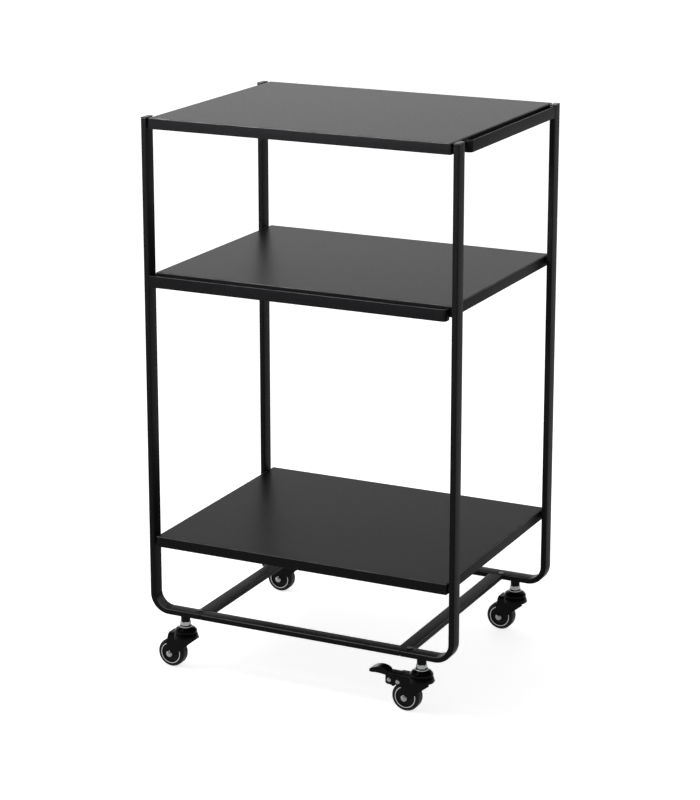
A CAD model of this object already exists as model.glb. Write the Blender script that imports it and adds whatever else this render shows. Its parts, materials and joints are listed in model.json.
import json
import math

import bmesh
import bpy
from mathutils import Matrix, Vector


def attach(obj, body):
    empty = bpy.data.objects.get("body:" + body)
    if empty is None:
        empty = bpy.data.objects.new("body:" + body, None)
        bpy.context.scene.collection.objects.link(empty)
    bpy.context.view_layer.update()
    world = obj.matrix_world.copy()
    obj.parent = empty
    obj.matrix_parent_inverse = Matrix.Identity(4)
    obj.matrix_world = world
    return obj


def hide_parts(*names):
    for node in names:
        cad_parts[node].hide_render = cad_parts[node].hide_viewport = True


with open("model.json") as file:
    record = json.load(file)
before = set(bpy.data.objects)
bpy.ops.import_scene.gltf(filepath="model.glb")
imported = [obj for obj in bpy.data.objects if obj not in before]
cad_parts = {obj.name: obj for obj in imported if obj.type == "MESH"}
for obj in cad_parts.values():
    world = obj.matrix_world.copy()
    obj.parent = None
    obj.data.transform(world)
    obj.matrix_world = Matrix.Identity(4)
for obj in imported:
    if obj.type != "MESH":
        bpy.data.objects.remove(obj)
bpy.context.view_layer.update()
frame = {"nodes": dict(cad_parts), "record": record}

# ---- the cart's sizes, in millimetres, as in part.scad ----

POST_X, POST_Y = 230.0, 165.0
POST_H = 774.0
TUBE_T, TUBE_W, TUBE_R = 8.0, 20.0, 1.7
BEND_R = 28.0
RAIL_Z = 77.5
SEAM_X, SEAM_GAP = 152.0, 0.3
CROSSBAR_X = 153.5
FRAME_D = 350.0
SHELF_X = 219.0
SHEET_T, FLANGE_H = 1.2, 15.0
SHELF_BEND_R = 1.9
SHELVES = {"shelf_top": (775.0, 0.0), "shelf_middle": (562.5, 12.5), "shelf_bottom": (190.0, 0.0)}
BAR_T, BAR_H, BAR_CORNER_R = 2.0, 16.0, 5.5
SIDE_BAR_TOP, SIDE_BAR_INSET = 773.0, 41.0
FRONT_BAR_TOP, FRONT_BAR_INSET = 559.6, 8.0
RACE_TOP_Z, RACE_SKIRT_Z = 60.6, 53.1
NUT_Z, NUT_H, NUT_AF = 62.6, 6.5, 13.0
SLEEVE_Z, SLEEVE_R = 69.1, 6.5
STEM_R = 4.0
WHEEL_R, WHEEL_W = 20.0, 17.0
RIM_R, HUB_R = 15.0, 13.8
FORK_W = 22.6
AXLE_R, AXLE_HEAD_R, AXLE_HEAD_H = 3.0, 4.75, 3.0
RIVET_Z, RIVET_U, RIVET_HEAD_R, RIVET_HEAD_H = 41.4, 30.0, 3.1, 1.5
BRACKET_W = 18.6

CORNERS = ("front_left", "front_right", "rear_left", "rear_right")
BRAKED = ("front_right", "rear_left")
SIGN = {"front_left": (-1, -1), "front_right": (1, -1), "rear_left": (-1, 1), "rear_right": (1, 1)}

record = frame["record"]
shift_x = 1000 * record["mounts"][0]["pos_m"][0]
joint_at = {j["name"]: [1000 * c for c in j["pos_m"]] for j in record["behaviour"]["joints"]}
slot_of = {part["node"]: part["material_slot"] for part in record["subparts"]}


def swivel_at(corner):
    return joint_at["swivel_" + corner]


# ---- outlines ----

def filleted(points, steps=5):
    """A closed outline of (a, b, radius) corners, each rounded by its radius."""
    out = []
    for i, (a, b, radius) in enumerate(points):
        p = Vector((a, b))
        before = Vector(points[i - 1][:2]) - p
        after = Vector(points[(i + 1) % len(points)][:2]) - p
        if radius <= 0:
            out.append((a, b))
            continue
        half = before.angle(after) / 2
        reach = min(radius / math.tan(half), 0.48 * before.length, 0.48 * after.length)
        r = reach * math.tan(half)
        start, end = p + before.normalized() * reach, p + after.normalized() * reach
        centre = p + (before.normalized() + after.normalized()).normalized() * (r / math.sin(half))
        for k in range(steps + 1):
            t = k / steps
            arm = (start - centre).lerp(end - centre, t)
            out.append(tuple(centre + arm.normalized() * r))
    return out


def rounded_box_outline(width, height, radius, steps=4):
    w, h = width / 2, height / 2
    return filleted([(-w, -h, radius), (w, -h, radius), (w, h, radius), (-w, h, radius)], steps)


def arc(centre, radius, start, end, steps):
    turn = [math.radians(start + (end - start) * k / steps) for k in range(steps + 1)]
    return [(centre[0] + radius * math.cos(a), centre[1] + radius * math.sin(a)) for a in turn]


# ---- solids, as (vertices, faces) in millimetres ----

def rings_to_solid(rings, closed):
    """Joins equal rings of points by quads; a row that isn't closed gets end faces."""
    count = len(rings[0])
    verts = [p for ring in rings for p in ring]
    faces = []
    last = len(rings) if closed else len(rings) - 1
    for i in range(last):
        a, b = i * count, (i + 1) % len(rings) * count
        for k in range(count):
            n = (k + 1) % count
            faces.append((a + k, a + n, b + n, b + k))
    if not closed:
        faces.append(tuple(range(count))[::-1])
        faces.append(tuple(range((len(rings) - 1) * count, len(rings) * count)))
    return verts, faces


def swept(path, section, place, end_chamfer=0.5):
    """Sweeps a section of (across, out) along a path in a plane; place() puts a point in space."""
    points = [Vector(p) for p in path]
    first = (points[1] - points[0]).normalized() * end_chamfer
    final = (points[-2] - points[-1]).normalized() * end_chamfer
    points = [points[0], points[0] + first] + points[1:-1] + [points[-1] + final, points[-1]]
    a_max = max(abs(s[0]) for s in section)
    b_max = max(abs(s[1]) for s in section)
    rings = []
    for i, p in enumerate(points):
        along = points[min(i + 1, len(points) - 1)] - points[max(i - 1, 0)]
        normal = Vector((-along.y, along.x)).normalized()
        inset = end_chamfer if i in (0, len(points) - 1) else 0
        ka, kb = 1 - inset / a_max, 1 - inset / b_max
        rings.append([place(*(p + normal * (a * ka)), b * kb) for a, b in section])
    return rings_to_solid(rings, False)


def turned(profile, place, segments=64):
    """Revolves a closed outline of (radius, height); place() puts a point in space."""
    rings = []
    for k in range(segments):
        c, s = math.cos(2 * math.pi * k / segments), math.sin(2 * math.pi * k / segments)
        rings.append([place(r * c, r * s, h) for r, h in profile])
    return rings_to_solid(rings, True)


def hexagon_nut(across_flats, z_low, height, bore, place, segments=72):
    """A nut with both ends chamfered."""
    apothem = across_flats / 2
    levels = [0, 0.25, 0.5, 0.8]
    heights = [z_low + h for h in levels] + [z_low + height - h for h in levels[::-1]]
    edge = [apothem * 0.96 + 1.75 * h for h in levels]
    edge = edge + edge[::-1]
    rings = []
    for k in range(segments):
        angle = 2 * math.pi * k / segments
        flat = (math.degrees(angle) + 30) % 60 - 30
        reach = apothem / math.cos(math.radians(flat))
        c, s = math.cos(angle), math.sin(angle)
        outer = [(min(reach, e), h) for e, h in zip(edge, heights)]
        profile = outer + [(bore, z_low + height), (bore, z_low)]
        rings.append([place(r * c, r * s, h) for r, h in profile])
    return rings_to_solid(rings, True)


def joined(solids):
    verts, faces = [], []
    for v, f in solids:
        start = len(verts)
        verts += v
        faces += [tuple(start + i for i in face) for face in f]
    return verts, faces


# ---- pieces ----

def smooth(mesh, angle):
    mesh.polygons.foreach_set("use_smooth", [True] * len(mesh.polygons))
    mesh.set_sharp_from_angle(angle=math.radians(angle))


def piece(name, solid, body, slot, *nodes, angle=38):
    """A new mesh piece, which rides on a body and stands for the CAD nodes named."""
    verts, faces = solid
    mesh = bpy.data.meshes.new(name)
    mesh.from_pydata([tuple(0.001 * c for c in v) for v in verts], [], faces)
    bm = bmesh.new()
    bm.from_mesh(mesh)
    bmesh.ops.remove_doubles(bm, verts=bm.verts, dist=1e-7)
    bmesh.ops.dissolve_degenerate(bm, edges=bm.edges, dist=1e-7)
    bmesh.ops.recalc_face_normals(bm, faces=bm.faces)
    bm.to_mesh(mesh)
    bm.free()
    smooth(mesh, angle)
    made = bpy.data.objects.new(name, mesh)
    bpy.context.scene.collection.objects.link(made)
    mesh.materials.append(materials[slot])
    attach(made, body)
    if nodes:
        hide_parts(*nodes)
    return made


def soften(thing, width):
    """Rounds a piece's edges by a small radius."""
    weld = thing.modifiers.new("weld", "WELD")
    weld.merge_threshold = 1e-6
    bevel = thing.modifiers.new("bevel", "BEVEL")
    bevel.width = 0.001 * width
    bevel.segments = 3
    bevel.limit_method = "ANGLE"
    bevel.angle_limit = math.radians(40)


def body_with(node):
    for body, nodes in record["behaviour"]["bodies"].items():
        if node in nodes:
            return body


def formed_copy(node, width):
    """A pressed-steel piece: the CAD shape with smooth curved faces and rounded edges."""
    source = frame["nodes"][node]
    mesh = source.data.copy()
    mesh.name = node + "_formed"
    bm = bmesh.new()
    bm.from_mesh(mesh)
    bmesh.ops.remove_doubles(bm, verts=bm.verts, dist=1e-6)
    bmesh.ops.dissolve_limit(bm, angle_limit=math.radians(1), verts=bm.verts, edges=bm.edges)
    bm.to_mesh(mesh)
    bm.free()
    smooth(mesh, 32)
    made = bpy.data.objects.new(node + "_formed", mesh)
    made.matrix_world = source.matrix_world
    bpy.context.scene.collection.objects.link(made)
    mesh.materials.clear()
    mesh.materials.append(materials[slot_of[node]])
    bevel = made.modifiers.new("bevel", "BEVEL")
    bevel.width = 0.001 * width
    bevel.segments = 3
    bevel.limit_method = "ANGLE"
    bevel.angle_limit = math.radians(32)
    bevel.harden_normals = True
    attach(made, body_with(node))
    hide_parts(node)
    return made


# ---- materials: one short function for each slot ----
#
# Their colours and their gloss are tuned to give the right greys under this script's own
# light. They are darker and duller than the real materials, whose colours the record gives.

def new_material(name, colour, roughness, metallic=0.0, specular=0.5):
    material = bpy.data.materials.new(name)
    material.use_nodes = True
    tree = material.node_tree
    shader = tree.nodes["Principled BSDF"]
    shader.inputs["Base Color"].default_value = (*colour, 1)
    shader.inputs["Roughness"].default_value = roughness
    shader.inputs["Metallic"].default_value = metallic
    shader.inputs["Specular IOR Level"].default_value = specular
    return material, tree, shader


def noise(tree, scale, detail=3.0, stretch=(1, 1, 1)):
    where = tree.nodes.new("ShaderNodeTexCoord")
    mapping = tree.nodes.new("ShaderNodeMapping")
    mapping.inputs["Scale"].default_value = stretch
    tree.links.new(where.outputs["Object"], mapping.inputs["Vector"])
    texture = tree.nodes.new("ShaderNodeTexNoise")
    texture.inputs["Scale"].default_value = scale
    texture.inputs["Detail"].default_value = detail
    tree.links.new(mapping.outputs["Vector"], texture.inputs["Vector"])
    return texture.outputs["Fac"]


def map_range(tree, value, start, end, low=0.0, high=1.0):
    node = tree.nodes.new("ShaderNodeMapRange")
    node.inputs["From Min"].default_value = start
    node.inputs["From Max"].default_value = end
    node.inputs["To Min"].default_value = low
    node.inputs["To Max"].default_value = high
    tree.links.new(value, node.inputs["Value"])
    return node.outputs["Result"]


def spread(tree, value, low, high):
    """Maps the middle of a noise to a range."""
    return map_range(tree, value, 0.3, 0.7, low, high)


def multiplied(tree, first, second):
    node = tree.nodes.new("ShaderNodeMath")
    node.operation = "MULTIPLY"
    tree.links.new(first, node.inputs[0])
    tree.links.new(second, node.inputs[1])
    return node.outputs["Value"]


def colour_mix(tree, shader, factor, dark, light):
    """Feeds a mix of two colours to the shader; dark may be a colour or an output."""
    mix = tree.nodes.new("ShaderNodeMix")
    mix.data_type = "RGBA"
    if isinstance(dark, tuple):
        mix.inputs["A"].default_value = (*dark, 1)
    else:
        tree.links.new(dark, mix.inputs["A"])
    mix.inputs["B"].default_value = (*light, 1)
    tree.links.new(factor, mix.inputs["Factor"])
    tree.links.new(mix.outputs["Result"], shader.inputs["Base Color"])


def vary_roughness(tree, shader, value, low, high):
    tree.links.new(spread(tree, value, low, high), shader.inputs["Roughness"])


def vary_colour(tree, shader, value, dark, light):
    colour_mix(tree, shader, spread(tree, value, 0.0, 1.0), dark, light)


def bumped(tree, shader, heights, distance):
    """Adds fine relief from (value, strength) pairs, one bump on the other."""
    normal = None
    for value, strength in heights:
        bump = tree.nodes.new("ShaderNodeBump")
        bump.inputs["Strength"].default_value = strength
        bump.inputs["Distance"].default_value = distance
        tree.links.new(value, bump.inputs["Height"])
        if normal:
            tree.links.new(normal, bump.inputs["Normal"])
        normal = bump.outputs["Normal"]
    tree.links.new(normal, shader.inputs["Normal"])


def worn_edges(tree, shader, dark, light, width):
    """Lightens the paint along sharp edges, broken up by a noise."""
    bevel = tree.nodes.new("ShaderNodeBevel")
    bevel.samples = 4
    bevel.inputs["Radius"].default_value = width
    geometry = tree.nodes.new("ShaderNodeNewGeometry")
    dot = tree.nodes.new("ShaderNodeVectorMath")
    dot.operation = "DOT_PRODUCT"
    tree.links.new(bevel.outputs["Normal"], dot.inputs[0])
    tree.links.new(geometry.outputs["Normal"], dot.inputs[1])
    edge = multiplied(tree, map_range(tree, dot.outputs["Value"], 1.0, 0.75),
                      spread(tree, noise(tree, 90, 4), 0.2, 1.0))
    colour_mix(tree, shader, edge, dark, light)


def paler_bends(tree, shader, pale):
    """Paints the rounded edges that face up paler.

    It imitates the fine bright line that light makes there and that this light doesn't
    give. It is colour and not a reflection, so it stays the same in any light.
    """
    geometry = tree.nodes.new("ShaderNodeNewGeometry")
    split = tree.nodes.new("ShaderNodeSeparateXYZ")
    tree.links.new(geometry.outputs["Normal"], split.inputs["Vector"])
    above_side = map_range(tree, split.outputs["Z"], 0.3, 0.6)
    below_top = map_range(tree, split.outputs["Z"], 0.995, 0.9)
    bend = multiplied(tree, multiplied(tree, above_side, below_top),
                      spread(tree, noise(tree, 40, 4), 0.5, 1.0))
    paint = shader.inputs["Base Color"].links[0].from_socket
    colour_mix(tree, shader, bend, paint, pale)


def black_powder_coat():
    """Matt black powder coat with its fine grain, and paler rounded edges."""
    material, tree, shader = new_material("black_powder_coat", (0.0055, 0.0055, 0.006), 0.38,
                                          specular=0.022)
    vary_colour(tree, shader, noise(tree, 700, 3), (0.0045, 0.0045, 0.005), (0.007, 0.007, 0.0075))
    paler_bends(tree, shader, (0.12, 0.12, 0.122))
    vary_roughness(tree, shader, noise(tree, 320, 4), 0.35, 0.4)
    bumped(tree, shader, [(noise(tree, 1500, 2), 0.14), (noise(tree, 380, 3), 0.03)], 0.0002)
    return material


def black_lacquer():
    """Glossy black electrocoat on pressed steel, with a faint orange peel."""
    material, tree, shader = new_material("black_lacquer", (0.002, 0.002, 0.0022), 0.16,
                                          specular=0.05)
    worn_edges(tree, shader, (0.002, 0.002, 0.0022), (0.012, 0.012, 0.013), 0.0004)
    vary_roughness(tree, shader, noise(tree, 160, 4), 0.12, 0.2)
    bumped(tree, shader, [(noise(tree, 420, 2), 0.1)], 0.0002)
    return material


def black_oxide():
    """Blackened steel: screws and plugs."""
    material, tree, shader = new_material("black_oxide", (0.022, 0.022, 0.024), 0.4, metallic=0.6)
    vary_colour(tree, shader, noise(tree, 300, 4), (0.016, 0.016, 0.018), (0.034, 0.034, 0.036))
    vary_roughness(tree, shader, noise(tree, 420, 3), 0.32, 0.5)
    bumped(tree, shader, [(noise(tree, 1800, 2), 0.1)], 0.0002)
    return material


def black_plastic():
    """Moulded black plastic: caps and wheel hubs."""
    material, tree, shader = new_material("black_plastic", (0.004, 0.004, 0.0045), 0.4,
                                          specular=0.08)
    vary_colour(tree, shader, noise(tree, 90, 4), (0.003, 0.003, 0.0035), (0.0055, 0.0055, 0.006))
    vary_roughness(tree, shader, noise(tree, 240, 3), 0.32, 0.48)
    bumped(tree, shader, [(noise(tree, 2200, 2), 0.12)], 0.0001)
    return material


def zinc_plate():
    """Bright zinc plate, lightly clouded."""
    material, tree, shader = new_material("zinc_plate", (0.22, 0.22, 0.225), 0.28, metallic=1.0)
    vary_colour(tree, shader, noise(tree, 260, 5), (0.18, 0.18, 0.185), (0.26, 0.26, 0.265))
    vary_roughness(tree, shader, noise(tree, 500, 3), 0.22, 0.34)
    bumped(tree, shader, [(noise(tree, 900, 3), 0.12)], 0.0002)
    return material


def bright_chrome():
    """Polished plate on the nuts, washers and balls."""
    material, tree, shader = new_material("bright_chrome", (0.25, 0.253, 0.257), 0.1, metallic=1.0)
    vary_colour(tree, shader, noise(tree, 180, 4), (0.22, 0.223, 0.227), (0.28, 0.283, 0.287))
    vary_roughness(tree, shader, noise(tree, 350, 4), 0.06, 0.15)
    bumped(tree, shader, [(noise(tree, 700, 3), 0.05)], 0.0002)
    return material


def rim_metal():
    """Turned aluminium ring, with its fine lathe marks."""
    material, tree, shader = new_material("rim_metal", (0.38, 0.38, 0.39), 0.25, metallic=1.0)
    vary_colour(tree, shader, noise(tree, 200, 4), (0.33, 0.33, 0.34), (0.43, 0.43, 0.44))
    vary_roughness(tree, shader, noise(tree, 600, 4, (1, 9, 1)), 0.16, 0.34)
    bumped(tree, shader, [(noise(tree, 800, 3, (1, 9, 1)), 0.06)], 0.0002)
    return material


def wheel_rubber():
    """Hard black rubber, dusty where it is rough."""
    material, tree, shader = new_material("wheel_rubber", (0.005, 0.005, 0.005), 0.45,
                                          specular=0.08)
    vary_colour(tree, shader, noise(tree, 120, 5), (0.0035, 0.0035, 0.0035),
                (0.007, 0.0069, 0.0067))
    vary_roughness(tree, shader, noise(tree, 300, 4), 0.36, 0.52)
    bumped(tree, shader, [(noise(tree, 1300, 3), 0.2), (noise(tree, 200, 3), 0.05)], 0.0002)
    return material


SLOT_MATERIALS = (black_powder_coat, black_lacquer, black_oxide, black_plastic, zinc_plate,
                  bright_chrome, rim_metal, wheel_rubber)
materials = {make.__name__: make() for make in SLOT_MATERIALS}


# ---- frame ----

def post(corner):
    """A bent flat tube: down from the cap, round the bend and in to the rail."""
    sx, sy = SIGN[corner]
    bend = (POST_X - BEND_R, RAIL_Z + BEND_R)
    path = [(POST_X - TUBE_T / 2, POST_H), (POST_X - TUBE_T / 2, 600), (POST_X - TUBE_T / 2, 300)]
    path += arc(bend, BEND_R - TUBE_T / 2, 0, -90, 20)
    path += [(SEAM_X + SEAM_GAP, RAIL_Z + TUBE_T / 2)]
    section = rounded_box_outline(TUBE_T, TUBE_W, TUBE_R)

    def place(x, z, y):
        return sx * x + shift_x, sy * POST_Y + y, z
    piece("post_tube_" + corner, swept(path, section, place), "cart", "black_powder_coat",
          "post_" + corner)


def straight_tube(name, node, start, end):
    """A straight flat tube, lying level, between two points."""
    along = 0 if start[0] != end[0] else 1
    section = rounded_box_outline(TUBE_W, TUBE_T, TUBE_R)
    path = [(start[0], start[1]), ((start[0] + end[0]) / 2, (start[1] + end[1]) / 2),
            (end[0], end[1])]

    def place(x, y, z):
        return x + shift_x, y, RAIL_Z + TUBE_T / 2 + z
    chamfer = 0.5 if along == 0 else 0.05
    piece(name, swept(path, section, place, chamfer), "cart", "black_powder_coat", node)


def weld_beads():
    """Fillet welds where the cross bars meet the rails."""
    solids = []
    for sx in (-1, 1):
        for sy in (-1, 1):
            for face in (0.1, TUBE_T - 0.1):
                z = RAIL_Z + face
                y = sy * (FRAME_D / 2 - TUBE_W)
                rings = []
                for k in range(25):
                    x = sx * CROSSBAR_X - TUBE_W / 2 + 1 + (TUBE_W - 2) * k / 24
                    r = 0.55 + 0.12 * math.sin(k * 2.1)
                    ring = [(x + shift_x, y + 1.5 * r * c, z + r * s) for c, s in
                            arc((0, 0), 1, 0, 315, 7)]
                    rings.append(ring)
                solids.append(rings_to_solid(rings, False))
    piece("weld_beads", joined(solids), "cart", "black_powder_coat")


def tray(node):
    """A shelf: sheet steel with its edges bent down all round."""
    top, setback = SHELVES[node]
    half_x, half_y = SHELF_X, (FRAME_D - setback) / 2
    centre_y = setback / 2
    r, t = SHELF_BEND_R, SHEET_T
    profile = [(14, 0), (r + 0.4, 0)]
    profile += [(r - r * math.sin(a), -r + r * math.cos(a)) for a in
                [math.radians(90 * k / 6) for k in range(7)]]
    profile += [(0, -FLANGE_H + 0.3), (0.3, -FLANGE_H), (t - 0.3, -FLANGE_H), (t, 0.3 - FLANGE_H)]
    inner = r - t
    profile += [(r - inner * math.sin(a), -r + inner * math.cos(a)) for a in
                [math.radians(90 - 90 * k / 3) for k in range(4)]]
    profile += [(14, -t)]
    rings = []
    for inset, z in profile:
        corner_r = max(2.2 - inset, 0.2)
        outline = rounded_box_outline(2 * (half_x - inset), 2 * (half_y - inset), corner_r, 5)
        rings.append([(x + shift_x, y + centre_y, top + z) for x, y in outline])
    piece(node + "_tray", rings_to_solid(rings, False), "cart", "black_powder_coat", node)


def side_bar():
    """Flat bar at the right of the top shelf, with a rounded corner and a return leg."""
    y_rear, y_front = FRAME_D / 2 - TUBE_W, -FRAME_D / 2 + SIDE_BAR_INSET
    bend = (POST_X - BAR_CORNER_R, y_front + BAR_CORNER_R)
    mid_r = BAR_CORNER_R - BAR_T / 2
    path = [(POST_X - BAR_T / 2, y_rear), (POST_X - BAR_T / 2, 0)]
    path += arc(bend, mid_r, 0, -90, 10) + [(SHELF_X, y_front + BAR_T / 2)]
    hanging_bar("side_bar_strip", "side_bar", path, SIDE_BAR_TOP)


def front_bar():
    """Flat bar along the front of the middle shelf."""
    y_face = -FRAME_D / 2
    x_left, x_right = -POST_X + TUBE_T, POST_X - TUBE_T - FRONT_BAR_INSET
    bend = (x_right - BAR_CORNER_R, y_face + BAR_CORNER_R)
    mid_r = BAR_CORNER_R - BAR_T / 2
    path = [(x_left, y_face + BAR_T / 2), (0, y_face + BAR_T / 2)]
    path += arc(bend, mid_r, -90, 0, 10) + [(x_right - BAR_T / 2, y_face + 12.5)]
    hanging_bar("front_bar_strip", "front_bar", path, FRONT_BAR_TOP)


def hanging_bar(name, node, path, top):
    section = rounded_box_outline(BAR_T, BAR_H, 0.6, 3)

    def place(x, y, z):
        return x + shift_x, y, top - BAR_H / 2 + z
    piece(name, swept(path, section, place, 0.2), "cart", "black_powder_coat", node)


# ---- caster mountings ----

def around_stems(profile, make=turned, **options):
    """The same turned part on all four swivel axes."""
    solids = []
    for corner in CORNERS:
        x0, y0, _ = swivel_at(corner)
        solids.append(make(profile, lambda x, y, z: (x + x0, y + y0, z), **options))
    return joined(solids)


def stem_sleeves():
    profile = filleted([(STEM_R, SLEEVE_Z, 0), (SLEEVE_R, SLEEVE_Z, 0.6),
                        (SLEEVE_R, RAIL_Z - 1.1, 0.7), (SLEEVE_R + 1.0, RAIL_Z, 0),
                        (STEM_R, RAIL_Z, 0)])
    piece("threaded_sleeves", around_stems(profile), "cart", "black_powder_coat", "stem_sleeves")


def stem_nuts():
    solids = []
    for corner in CORNERS:
        x0, y0, _ = swivel_at(corner)
        solids.append(hexagon_nut(NUT_AF, NUT_Z, NUT_H, STEM_R,
                                  lambda x, y, z: (x + x0, y + y0, z)))
    piece("lock_nuts", joined(solids), "cart", "bright_chrome", "stem_nuts", angle=22)


def stem_washers():
    profile = filleted([(STEM_R, RACE_TOP_Z, 0), (9, RACE_TOP_Z, 0.4), (9, NUT_Z, 0.7),
                        (STEM_R, NUT_Z, 0)])
    piece("spring_washers", around_stems(profile), "cart", "bright_chrome", "stem_washers")


def upper_races():
    profile = filleted([
        (STEM_R, RACE_TOP_Z, 0), (8.6, RACE_TOP_Z, 0.8), (9.6, RACE_TOP_Z - 0.9, 0.8),
        (13.0, RACE_TOP_Z - 1.8, 3.0), (15.7, RACE_SKIRT_Z + 2.6, 1.2),
        (15.7, RACE_SKIRT_Z + 1.4, 0.3), (16.0, RACE_SKIRT_Z + 1.1, 0.3),
        (16.0, RACE_SKIRT_Z, 0.45), (14.4, RACE_SKIRT_Z, 0.4),
        (14.4, RACE_SKIRT_Z + 1.8, 0.4), (STEM_R, RACE_SKIRT_Z + 1.8, 0)])
    piece("domed_races", around_stems(profile, segments=96), "cart", "black_lacquer",
          "upper_races")


# ---- caster ----

def on_axle(corner, u=None, z=None):
    """Places a part turned about the wheel's axle, or about a parallel axis at (u, z)."""
    x0, y0, z0 = joint_at["roll_" + corner]
    if u is not None:
        x0, z0 = swivel_at(corner)[0] - u, z
    return lambda a, b, h: (x0 + a, y0 + h, z0 + b)


def tread(corner):
    half = WHEEL_W / 2
    side = RIM_R + 0.2
    profile = filleted([
        (RIM_R, -half + 0.3, 0), (side + 0.6, -half + 0.1, 0.3), (WHEEL_R - 2.4, -half, 0.5),
        (WHEEL_R, -half + 2.6, 2.6), (WHEEL_R, half - 2.6, 2.6), (WHEEL_R - 2.4, half, 0.5),
        (side + 0.6, half - 0.1, 0.3), (RIM_R, half - 0.3, 0)], 8)
    piece("tyre_" + corner, turned(profile, on_axle(corner), 96), "wheel_" + corner,
          "wheel_rubber", "tread_" + corner)


def rim(corner):
    half = WHEEL_W / 2 - 0.3
    profile = filleted([(HUB_R, -half, 0.25), (RIM_R, -half, 0.25), (RIM_R, half, 0.25),
                        (HUB_R, half, 0.25)], 3)
    piece("ring_" + corner, turned(profile, on_axle(corner), 96), "wheel_" + corner,
          "rim_metal", "rim_" + corner)


def hub(corner):
    half, boss = WHEEL_W / 2 - 0.5, WHEEL_W / 2 + 0.3
    side = [(5.5, boss, 0.4), (5.5, half - 1.4, 0.6), (11.6, half - 1.4, 0.6),
            (12.2, half, 0.3), (HUB_R, half, 0)]
    profile = [(AXLE_R + 0.05, boss, 0)] + side
    profile += [(r, -h, f) for r, h, f in side[::-1]] + [(AXLE_R + 0.05, -boss, 0)]
    piece("hub_disc_" + corner, turned(filleted(profile, 4), on_axle(corner), 80),
          "wheel_" + corner, "black_plastic", "hub_" + corner)


def domed_head(radius, height, base, side, shank):
    """Profile of a rivet's head that stands on the face at base, towards side (-1 or 1)."""
    dome = [(radius * math.cos(a), base + side * (0.3 + (height - 0.3) * math.sin(a)))
            for a in [math.radians(90 * k / 8) for k in range(9)]]
    return [(0, base - side * shank), (radius - 0.4, base - side * shank), (radius - 0.4, base),
            (radius, base)] + dome


def axle(corner):
    half = FORK_W / 2
    place = on_axle(corner)
    head = turned(domed_head(AXLE_HEAD_R, AXLE_HEAD_H, -half, -1, 0.0), place, 48)
    shank = turned([(0, -half), (AXLE_R, -half), (AXLE_R, half + 3.5), (0, half + 3.5)], place, 32)
    nut = hexagon_nut(9, half, 3.5, AXLE_R - 0.2, place, 48)
    piece("axle_bolt_" + corner, joined([head, shank, nut]), "caster_" + corner, "zinc_plate",
          "axle_" + corner, angle=26)


def brake_rivets(corner):
    solids = []
    x0 = swivel_at(corner)[0]
    pivot = joint_at["brake_" + corner]
    for u, z, r, grip in ((RIVET_U, RIVET_Z, 1.6, FORK_W),
                          (x0 - pivot[0], pivot[2], 2.0, BRACKET_W)):
        place = on_axle(corner, u, z)
        solids.append(turned([(0, -grip / 2), (r, -grip / 2), (r, grip / 2), (0, grip / 2)],
                             place, 24))
        for side in (-1, 1):
            solids.append(turned(domed_head(RIVET_HEAD_R, RIVET_HEAD_H, side * grip / 2, side, 0.0),
                                 place, 40))
    piece("brake_rivets_" + corner, joined(solids), "caster_" + corner, "zinc_plate",
          "brake_pins_" + corner)


# ---- making everything ----

for corner in CORNERS:
    post(corner)
    tread(corner)
    rim(corner)
    hub(corner)
    axle(corner)
    formed_copy("fork_" + corner, 0.7)
for corner in BRAKED:
    brake_rivets(corner)
    formed_copy("brake_bracket_" + corner, 0.4)
    formed_copy("brake_pedal_" + corner, 0.4)
for sy, end in ((-1, "front"), (1, "rear")):
    straight_tube("rail_tube_" + end, "rail_" + end, (-SEAM_X + SEAM_GAP, sy * POST_Y),
                  (SEAM_X - SEAM_GAP, sy * POST_Y))
for sx, end in ((-1, "left"), (1, "right")):
    straight_tube("crossbar_tube_" + end, "crossbar_" + end,
                  (sx * CROSSBAR_X, -FRAME_D / 2 + TUBE_W), (sx * CROSSBAR_X, FRAME_D / 2 - TUBE_W))
weld_beads()
for node in SHELVES:
    tray(node)
side_bar()
front_bar()
stem_sleeves()
stem_nuts()
stem_washers()
upper_races()

for node, thing in frame["nodes"].items():
    thing.data.materials.clear()
    thing.data.materials.append(materials[slot_of[node]])
    soften(thing, 0.5 if node == "post_caps" else 0.3)


# ---- floor, light and camera ----

FLOOR_GLOW = 0.74    # light that the floor gives off itself, so that it comes out white
BRIGHT_SIDE, DARK_SIDE = 3.05, 1.0    # the room's strength at the rear left and elsewhere


def floor():
    mesh = bpy.data.meshes.new("floor")
    mesh.from_pydata([(-20, -20, 0), (20, -20, 0), (20, 20, 0), (-20, 20, 0)], [], [(0, 1, 2, 3)])
    thing = bpy.data.objects.new("floor", mesh)
    bpy.context.scene.collection.objects.link(thing)
    material, tree, shader = new_material("pale_floor", (0.86, 0.86, 0.86), 0.75, specular=0.2)
    shader.inputs["Emission Color"].default_value = (1, 1, 1, 1)
    shader.inputs["Emission Strength"].default_value = FLOOR_GLOW
    vary_roughness(tree, shader, noise(tree, 3, 3), 0.7, 0.8)
    mesh.materials.append(material)


def softbox(name, place, aim, size, power, spread=180):
    data = bpy.data.lights.new(name, "AREA")
    data.shape = "RECTANGLE"
    data.size, data.size_y = size
    data.energy = power
    data.spread = math.radians(spread)
    lamp = bpy.data.objects.new(name, data)
    bpy.context.scene.collection.objects.link(lamp)
    lamp.location = place
    lamp.rotation_euler = (Vector(aim) - Vector(place)).to_track_quat("-Z", "Y").to_euler()


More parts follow.
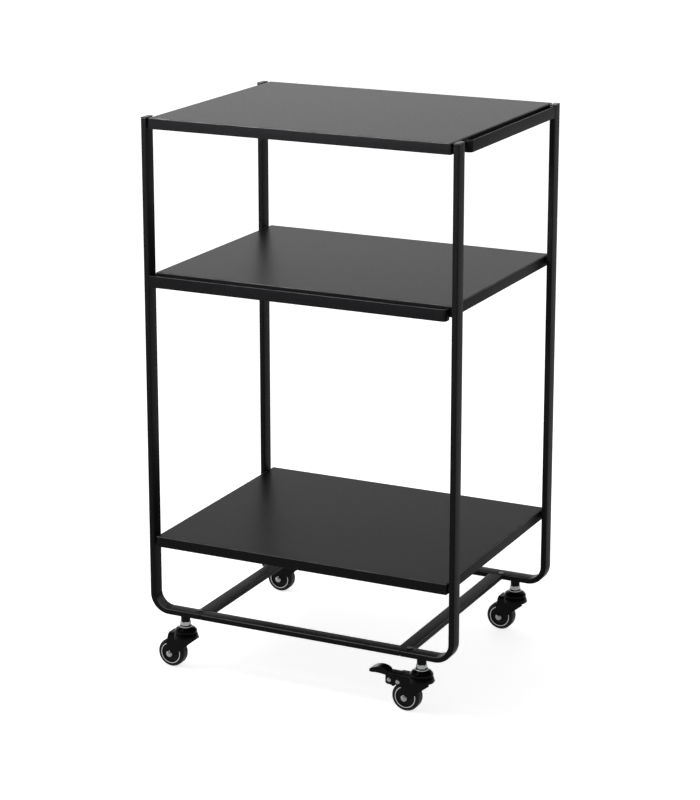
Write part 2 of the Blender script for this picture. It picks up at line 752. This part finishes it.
def surroundings():
    """A plain bright room: bright low down, and most of all at the rear left."""
    world = bpy.data.worlds.new("room")
    bpy.context.scene.world = world
    world.use_nodes = True
    tree = world.node_tree
    where = tree.nodes.new("ShaderNodeTexCoord")
    split = tree.nodes.new("ShaderNodeSeparateXYZ")
    tree.links.new(where.outputs["Generated"], split.inputs["Vector"])
    ramp = tree.nodes.new("ShaderNodeValToRGB")
    stops = ((0.0, 1.0), (0.16, 1.0), (0.3, 0.36), (0.6, 0.2), (1.0, 0.2))
    bright_side = (-0.9, 0.45, 0)
    ramp.color_ramp.elements.remove(ramp.color_ramp.elements[1])
    ramp.color_ramp.elements[0].color = (*[stops[0][1]] * 3, 1)
    for height, level in stops[1:]:
        ramp.color_ramp.elements.new(height).color = (*[level] * 3, 1)
    tree.links.new(split.outputs["Z"], ramp.inputs["Fac"])
    tree.links.new(ramp.outputs["Color"], tree.nodes["Background"].inputs["Color"])
    side = tree.nodes.new("ShaderNodeVectorMath")
    side.operation = "DOT_PRODUCT"
    tree.links.new(where.outputs["Generated"], side.inputs[0])
    side.inputs[1].default_value = bright_side
    level = map_range(tree, side.outputs["Value"], 0.0, 0.8, DARK_SIDE, BRIGHT_SIDE)
    tree.links.new(level, tree.nodes["Background"].inputs["Strength"])


def camera():
    data = bpy.data.cameras.new("camera")
    thing = bpy.data.objects.new("camera", data)
    bpy.context.scene.collection.objects.link(thing)
    thing.location = (1.4274 + 0.001 * shift_x, -2.9645, 1.3244)
    thing.rotation_euler = (math.radians(90 - 14.35), 0, math.radians(25.8))
    data.sensor_width = 36
    data.lens = 110.9
    data.shift_y = -0.1
    bpy.context.scene.camera = thing


floor()
softbox("overhead", (-1.15, -0.6, 2.7), (0, 0, 0.5), (0.8, 0.8), 20)
softbox("left_front", (-2.4, -2.2, 2.2), (0, 0, 0.4), (1.2, 1.2), 2)
softbox("top_front", (-0.7, -2.2, 1.4), (0, 0, 1.0), (0.7, 0.5), 7, 35)
surroundings()
camera()
bpy.context.scene.view_settings.view_transform = "Standard"
